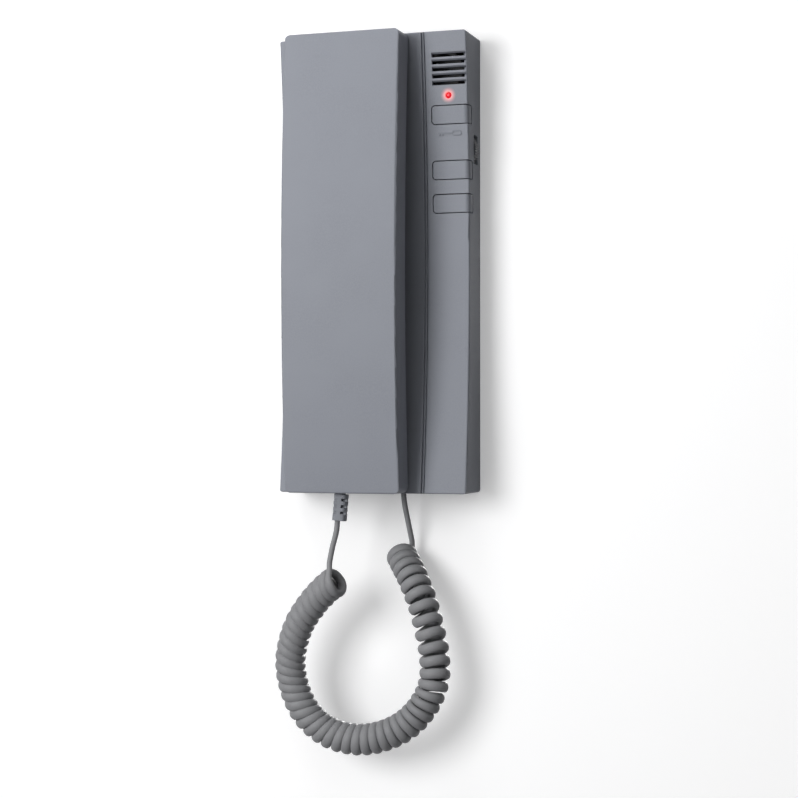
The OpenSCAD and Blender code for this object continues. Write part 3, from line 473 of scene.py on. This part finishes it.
def lamp():
    """A clear red lens, lit from inside: bright in the middle, deeper red at its rim."""
    n = Nodes("red_lens")
    middle = n.ramp(led_distance(n), 1.0, 0.0, LENS_MIDDLE_FROM, LENS_MIDDLE_TO)
    tone = n.mix(middle, LENS_RIM, LENS_MIDDLE)
    n.drive("Base Color", tone)
    n.drive("Emission Color", tone)
    n.drive("Emission Strength", n.ramp(n.noise(FLECK_SCALE, detail=1.0), FLECK_LEAST, 1.0))
    n.set(Roughness=LENS_ROUGH)
    return n.material


# Steel and the circuit board

STEEL_DARK = (0.5, 0.5, 0.52, 1)
STEEL_LIGHT = (0.68, 0.68, 0.7, 1)
STEEL_ROUGH = (0.25, 0.42)
MARK_SCALE = 900.0
MARK_STRETCH = (1, 1, 12)
MARK_STRENGTH = 0.2
MARK_DEPTH = 0.03 * MM
MASK_TONES = {
    "Color1": (0.004, 0.022, 0.009, 1),
    "Color2": (0.005, 0.026, 0.01, 1),
    "Mortar": (0.01, 0.045, 0.014, 1),
}
MASK_ROUGH = (0.25, 0.4)
MASK_GLOSS_SCALE = 400.0
TRACK_SCALE = 90.0
TRACK_W = 0.04
TRACK_STRENGTH = 0.3
TRACK_DEPTH = 0.05 * MM


def steel():
    """Zinc-plated steel with fine brush marks."""
    n = Nodes("zinc_steel")
    marks = n.noise(MARK_SCALE, detail=4.0, stretch=MARK_STRETCH)
    n.drive("Base Color", n.mix(n.ramp(marks, 0, 1), STEEL_DARK, STEEL_LIGHT))
    n.drive("Roughness", n.ramp(marks, *STEEL_ROUGH))
    n.drive("Normal", n.bump(marks, MARK_STRENGTH, MARK_DEPTH))
    n.set(Metallic=1.0)
    return n.material


def board():
    """Green solder mask over copper tracks."""
    n = Nodes("solder_mask")
    tracks = n.add("ShaderNodeTexBrick", offset=0.5)
    for name, tone in MASK_TONES.items():
        tracks.inputs[name].default_value = tone
    tracks.inputs["Scale"].default_value = TRACK_SCALE
    tracks.inputs["Mortar Size"].default_value = TRACK_W
    turned = n.add("ShaderNodeMapping")
    turned.inputs["Rotation"].default_value = (math.radians(90), 0, 0)
    n.link(n.place, turned.inputs["Vector"])
    n.link(turned.outputs["Vector"], tracks.inputs["Vector"])
    n.drive("Base Color", tracks.outputs["Color"])
    n.drive("Roughness", n.ramp(n.noise(MASK_GLOSS_SCALE), *MASK_ROUGH))
    n.drive("Normal", n.bump(tracks.outputs["Fac"], TRACK_STRENGTH, TRACK_DEPTH))
    return n.material


# Finishes: one for each of the record's material slots

SYMBOL_TONE = 0.84
MOULDED = {
    "grey_plastic": dict(color=GREY, rough=GREY_ROUGH),
    "dark_plastic": dict(color=(0.025, 0.026, 0.029, 1), rough=0.6),
    "wheel_plastic": dict(color=(0.19, 0.195, 0.21, 1), rough=0.5),
    "black_rubber": dict(color=(0.02, 0.02, 0.021, 1), rough=0.75, mottle=0.1),
    "boot_rubber": dict(color=(0.26, 0.272, 0.3, 1), rough=0.6),
    "symbol_print": dict(color=shade(GREY, SYMBOL_TONE), rough=GREY_ROUGH, edge=0.05 * MM),
    "terminal_green": dict(color=(0.05, 0.2, 0.09, 1), rough=0.45),
    "cord_sheath": dict(color=(0.285, 0.287, 0.298, 1), rough=0.5, grain=1800.0),
}
FINISHES = {slot: moulded(slot, **look).material for slot, look in MOULDED.items()}
FINISHES.update(board_green=board(), steel=steel(), red_lens=lamp())


def finish_with(piece, material):
    """Gives a piece its one material."""
    piece.data.materials.clear()
    piece.data.materials.append(material)


for part in frame["record"]["subparts"]:
    finish_with(nodes[part["node"]], FINISHES[part["material_slot"]])
finish_with(nodes["base_cover"], cover_plastic())
for piece in cord_pieces:
    finish_with(piece, FINISHES["cord_sheath"])


# Stage: a white wall behind the object and a pale floor well below it

WALL_Y = 0.8 * MM
FLOOR_Z = -0.33
STAGE_HALF = 2.0
WALL_BOUNCE = (0.175, 0.175, 0.18, 1)
WALL_PAINT = (0.74, 0.74, 0.745, 1)
WALL_LIFT = 0.495
WALL_NEAR_LIFT = 0.12
NEAR = 0.034
NEAR_SAMPLES = 8
WHITE = (1, 1, 1, 1)


def shown_rays(tree):
    """1 for rays from the camera, in reflections and through glass, and 0 for those that give light."""
    rays = tree.nodes.new("ShaderNodeLightPath").outputs
    shown = rays["Is Camera Ray"]
    for kind in ("Is Glossy Ray", "Is Transmission Ray"):
        either = tree.nodes.new("ShaderNodeMath")
        either.operation = "MAXIMUM"
        tree.links.new(shown, either.inputs[0])
        tree.links.new(rays[kind], either.inputs[1])
        shown = either.outputs[0]
    return shown


def stage_material(name):
    """Nearly white to the camera and in reflections, a grey bounce otherwise, and clear from behind.

    The even room light on the wall is an emitted lift, which the object's nearness takes away as
    painted shade. Shadow rays pass, so that the lamp behind the wall reaches the object's back.
    """
    n = Nodes(name)
    shown = shown_rays(n.tree)
    near = n.add("ShaderNodeAmbientOcclusion", samples=NEAR_SAMPLES)
    near.inputs["Distance"].default_value = NEAR
    n.drive("Base Color", n.mix(shown, WALL_BOUNCE, WALL_PAINT))
    # Painted shade: the emitted lift is less where the object is near
    lift = n.ramp(near.outputs["AO"], WALL_NEAR_LIFT, WALL_LIFT, 0.0, 1.0)
    n.drive("Emission Strength", n.math("MULTIPLY", shown, lift))
    n.set(Roughness=1.0, Specular_IOR_Level=0.0, Emission_Color=WHITE)
    clear = n.add("ShaderNodeBsdfTransparent")
    side = n.add("ShaderNodeMixShader")
    behind = n.add("ShaderNodeNewGeometry").outputs["Backfacing"]
    shadow = n.add("ShaderNodeLightPath").outputs["Is Shadow Ray"]
    n.link(n.math("MAXIMUM", behind, shadow), side.inputs[0])
    n.link(n.shader.outputs[0], side.inputs[1])
    n.link(clear.outputs[0], side.inputs[2])
    n.link(side.outputs[0], n.tree.nodes["Material Output"].inputs["Surface"])
    return n.material


def make_stage():
    """The wall and the floor, which meet behind the object."""
    paint = stage_material("stage_white")
    h = STAGE_HALF
    sheets = {
        "wall": [(-h, WALL_Y, FLOOR_Z), (h, WALL_Y, FLOOR_Z), (h, WALL_Y, h), (-h, WALL_Y, h)],
        "floor": [(-h, -h, FLOOR_Z), (h, -h, FLOOR_Z), (h, WALL_Y, FLOOR_Z), (-h, WALL_Y, FLOOR_Z)],
    }
    for name, corners in sheets.items():
        mesh = bpy.data.meshes.new(name)
        mesh.from_pydata(corners, [], [(0, 1, 2, 3)])
        mesh.materials.append(paint)
        sheet = bpy.data.objects.new(name, mesh)
        scene.collection.objects.link(sheet)


make_stage()


# Light: a soft key from the left, a weak lamp above, one behind the wall for the back, and an even fill

KEY_AT = (-0.371, -0.815, 0.094)
KEY_SIZE = 0.48
KEY_POWER = 5.4
TOP_AT = (-0.08, -0.3, 0.45)
TOP_SIZE = 0.3
TOP_POWER = 0.74
BACK_AT = (0.0, 1.3, 0.1)
BACK_SIZE = 0.2
BACK_POWER = 9.0
FILL = 0.21
SKY = 0.95


def soft_lamp(name, at, size, power):
    """A round area lamp that points at the object's middle."""
    data = bpy.data.lights.new(name, "AREA")
    data.shape = "DISK"
    data.size = size
    data.energy = power
    light = bpy.data.objects.new(name, data)
    light.location = at
    light.rotation_euler = (-Vector(at)).to_track_quat("-Z", "Y").to_euler()
    scene.collection.objects.link(light)


def make_world():
    """A sky that is nearly white where it shows, and lights the object by the fill alone."""
    world = bpy.data.worlds.new("studio")
    world.use_nodes = True
    tree = world.node_tree
    background = tree.nodes["Background"]
    background.inputs["Color"].default_value = WHITE
    strength = tree.nodes.new("ShaderNodeMapRange")
    strength.inputs["To Min"].default_value = FILL
    strength.inputs["To Max"].default_value = SKY
    tree.links.new(shown_rays(tree), strength.inputs["Value"])
    tree.links.new(strength.outputs["Result"], background.inputs["Strength"])
    scene.world = world


soft_lamp("key", KEY_AT, KEY_SIZE, KEY_POWER)
soft_lamp("top", TOP_AT, TOP_SIZE, TOP_POWER)
soft_lamp("back", BACK_AT, BACK_SIZE, BACK_POWER)
make_world()
scene.view_settings.view_transform = "Standard"
